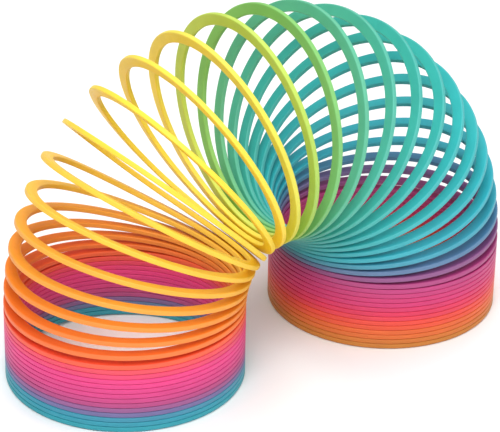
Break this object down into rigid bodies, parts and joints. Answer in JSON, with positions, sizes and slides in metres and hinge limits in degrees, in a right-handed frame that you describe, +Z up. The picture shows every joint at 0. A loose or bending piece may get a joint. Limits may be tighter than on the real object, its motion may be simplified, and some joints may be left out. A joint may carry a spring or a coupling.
{
  "type": "spring coil toy",
  "caption": "Toy coil spring of flat plastic strand, standing as an arch between its two closed ends, with hinged turns that close up into an upright coil.",
  "frame": {"origin": "on the floor, halfway between the two stacks, in the middle of the coil's width", "axes": "+X from the left stack to the right stack along the arch, +Y to the back across the coil, +Z up"},
  "size_m": [0.1722, 0.075, 0.1105],
  "materials": {
    "teal": "satin gloss",
    "violet": "satin gloss",
    "pink": "satin gloss",
    "red_orange": "satin gloss",
    "orange": "satin gloss",
    "yellow": "satin gloss",
    "green": "satin gloss"
  },
  "bodies": {
    "stack_left": {"left_turn_01": "teal", "left_turn_02": "teal", "left_turn_03": "violet", "left_turn_04": "violet", "left_turn_05": "violet", "left_turn_06": "pink", "left_turn_07": "pink", "left_turn_08": "pink", "left_turn_09": "pink", "left_turn_10": "pink", "left_turn_11": "pink", "left_turn_12": "red_orange", "left_turn_13": "red_orange", "left_turn_14": "red_orange"},
    "arch_01": {"arch_turn_01": "red_orange"},
    "arch_02": {"arch_turn_02": "orange"},
    "arch_03": {"arch_turn_03": "orange"},
    "arch_04": {"arch_turn_04": "orange"},
    "arch_05": {"arch_turn_05": "yellow"},
    "arch_06": {"arch_turn_06": "yellow"},
    "arch_07": {"arch_turn_07": "yellow"},
    "arch_08": {"arch_turn_08": "yellow"},
    "arch_09": {"arch_turn_09": "yellow"},
    "arch_10": {"arch_turn_10": "yellow"},
    "arch_11": {"arch_turn_11": "green"},
    "arch_12": {"arch_turn_12": "green"},
    "arch_13": {"arch_turn_13": "green"},
    "arch_14": {"arch_turn_14": "green"},
    "arch_15": {"arch_turn_15": "teal"},
    "arch_16": {"arch_turn_16": "teal"},
    "arch_17": {"arch_turn_17": "teal"},
    "arch_18": {"arch_turn_18": "teal"},
    "arch_19": {"arch_turn_19": "teal"},
    "arch_20": {"arch_turn_20": "teal"},
    "arch_21": {"arch_turn_21": "teal"},
    "arch_22": {"arch_turn_22": "teal"},
    "arch_23": {"arch_turn_23": "teal"},
    "arch_24": {"arch_turn_24": "teal"},
    "arch_25": {"arch_turn_25": "teal"},
    "stack_right": {"right_turn_01": "violet", "right_turn_02": "violet", "right_turn_03": "violet", "right_turn_04": "pink", "right_turn_05": "pink", "right_turn_06": "pink", "right_turn_07": "pink", "right_turn_08": "pink", "right_turn_09": "pink", "right_turn_10": "red_orange", "right_turn_11": "red_orange", "right_turn_12": "red_orange", "right_turn_13": "red_orange"}
  },
  "joints": [
    {"name": "turn_hinge_01", "type": "hinge", "parent": "stack_left", "child": "arch_01", "pos_m": [-0.0117, 0, 0.02224], "axis": [0, 1, 0], "range_deg": [-0.5, 0], "stiffness_Nm_per_rad": 0.02},
    {"name": "turn_hinge_02", "type": "hinge", "parent": "arch_01", "child": "arch_02", "pos_m": [-0.01168, 0, 0.02389], "axis": [0, 1, 0], "range_deg": [-2.75, 0], "stiffness_Nm_per_rad": 0.02},
    {"name": "turn_hinge_03", "type": "hinge", "parent": "arch_02", "child": "arch_03", "pos_m": [-0.01155, 0, 0.02553], "axis": [0, 1, 0], "range_deg": [-3.4, 0], "stiffness_Nm_per_rad": 0.02},
    {"name": "turn_hinge_04", "type": "hinge", "parent": "arch_03", "child": "arch_04", "pos_m": [-0.01131, 0, 0.02717], "axis": [0, 1, 0], "range_deg": [-4.4, 0], "stiffness_Nm_per_rad": 0.02},
    {"name": "turn_hinge_05", "type": "hinge", "parent": "arch_04", "child": "arch_05", "pos_m": [-0.0109, 0, 0.02877], "axis": [0, 1, 0], "range_deg": [-5.6, 0], "stiffness_Nm_per_rad": 0.02},
    {"name": "turn_hinge_06", "type": "hinge", "parent": "arch_05", "child": "arch_06", "pos_m": [-0.0103, 0, 0.03031], "axis": [0, 1, 0], "range_deg": [-6.85, 0], "stiffness_Nm_per_rad": 0.02},
    {"name": "turn_hinge_07", "type": "hinge", "parent": "arch_06", "child": "arch_07", "pos_m": [-0.00948, 0, 0.03175], "axis": [0, 1, 0], "range_deg": [-8.05, 0], "stiffness_Nm_per_rad": 0.02},
    {"name": "turn_hinge_08", "type": "hinge", "parent": "arch_07", "child": "arch_08", "pos_m": [-0.00843, 0, 0.03305], "axis": [0, 1, 0], "range_deg": [-9, 0], "stiffness_Nm_per_rad": 0.02},
    {"name": "turn_hinge_09", "type": "hinge", "parent": "arch_08", "child": "arch_09", "pos_m": [-0.00717, 0, 0.03414], "axis": [0, 1, 0], "range_deg": [-9.7, 0], "stiffness_Nm_per_rad": 0.02},
    {"name": "turn_hinge_10", "type": "hinge", "parent": "arch_09", "child": "arch_10", "pos_m": [-0.00575, 0, 0.03501], "axis": [0, 1, 0], "range_deg": [-10.1, 0], "stiffness_Nm_per_rad": 0.02},
    {"name": "turn_hinge_11", "type": "hinge", "parent": "arch_10", "child": "arch_11", "pos_m": [-0.00421, 0, 0.03565], "axis": [0, 1, 0], "range_deg": [-10.2, 0], "stiffness_Nm_per_rad": 0.02},
    {"name": "turn_hinge_12", "type": "hinge", "parent": "arch_11", "child": "arch_12", "pos_m": [-0.0026, 0, 0.03605], "axis": [0, 1, 0], "range_deg": [-10.2, 0], "stiffness_Nm_per_rad": 0.02},
    {"name": "turn_hinge_13", "type": "hinge", "parent": "arch_12", "child": "arch_13", "pos_m": [-0.00096, 0, 0.03624], "axis": [0, 1, 0], "range_deg": [-10.1, 0], "stiffness_Nm_per_rad": 0.02},
    {"name": "turn_hinge_14", "type": "hinge", "parent": "arch_13", "child": "arch_14", "pos_m": [0.00069, 0, 0.03623], "axis": [0, 1, 0], "range_deg": [-10, 0], "stiffness_Nm_per_rad": 0.02},
    {"name": "turn_hinge_15", "type": "hinge", "parent": "arch_14", "child": "arch_15", "pos_m": [0.00233, 0, 0.03601], "axis": [0, 1, 0], "range_deg": [-9.9, 0], "stiffness_Nm_per_rad": 0.02},
    {"name": "turn_hinge_16", "type": "hinge", "parent": "arch_15", "child": "arch_16", "pos_m": [0.00393, 0, 0.03558], "axis": [0, 1, 0], "range_deg": [-9.7, 0], "stiffness_Nm_per_rad": 0.02},
    {"name": "turn_hinge_17", "type": "hinge", "parent": "arch_16", "child": "arch_17", "pos_m": [0.00546, 0, 0.03494], "axis": [0, 1, 0], "range_deg": [-9.4, 0], "stiffness_Nm_per_rad": 0.02},
    {"name": "turn_hinge_18", "type": "hinge", "parent": "arch_17", "child": "arch_18", "pos_m": [0.00688, 0, 0.03406], "axis": [0, 1, 0], "range_deg": [-8.9, 0], "stiffness_Nm_per_rad": 0.02},
    {"name": "turn_hinge_19", "type": "hinge", "parent": "arch_18", "child": "arch_19", "pos_m": [0.00815, 0, 0.03297], "axis": [0, 1, 0], "range_deg": [-8.15, 0], "stiffness_Nm_per_rad": 0.02},
    {"name": "turn_hinge_20", "type": "hinge", "parent": "arch_19", "child": "arch_20", "pos_m": [0.00922, 0, 0.0317], "axis": [0, 1, 0], "range_deg": [-7.2, 0], "stiffness_Nm_per_rad": 0.02},
    {"name": "turn_hinge_21", "type": "hinge", "parent": "arch_20", "child": "arch_21", "pos_m": [0.01007, 0, 0.03027], "axis": [0, 1, 0], "range_deg": [-6.1, 0], "stiffness_Nm_per_rad": 0.02},
    {"name": "turn_hinge_22", "type": "hinge", "parent": "arch_21", "child": "arch_22", "pos_m": [0.01072, 0, 0.02874], "axis": [0, 1, 0], "range_deg": [-4.95, 0], "stiffness_Nm_per_rad": 0.02},
    {"name": "turn_hinge_23", "type": "hinge", "parent": "arch_22", "child": "arch_23", "pos_m": [0.01117, 0, 0.02715], "axis": [0, 1, 0], "range_deg": [-3.85, 0], "stiffness_Nm_per_rad": 0.02},
    {"name": "turn_hinge_24", "type": "hinge", "parent": "arch_23", "child": "arch_24", "pos_m": [0.01146, 0, 0.02553], "axis": [0, 1, 0], "range_deg": [-3.05, 0], "stiffness_Nm_per_rad": 0.02},
    {"name": "turn_hinge_25", "type": "hinge", "parent": "arch_24", "child": "arch_25", "pos_m": [0.01163, 0, 0.02389], "axis": [0, 1, 0], "range_deg": [-2.55, 0], "stiffness_Nm_per_rad": 0.02},
    {"name": "turn_hinge_26", "type": "hinge", "parent": "arch_25", "child": "stack_right", "pos_m": [0.0117, 0, 0.02224], "axis": [0, 1, 0], "range_deg": [-0.5, 0], "stiffness_Nm_per_rad": 0.02}
  ]
}
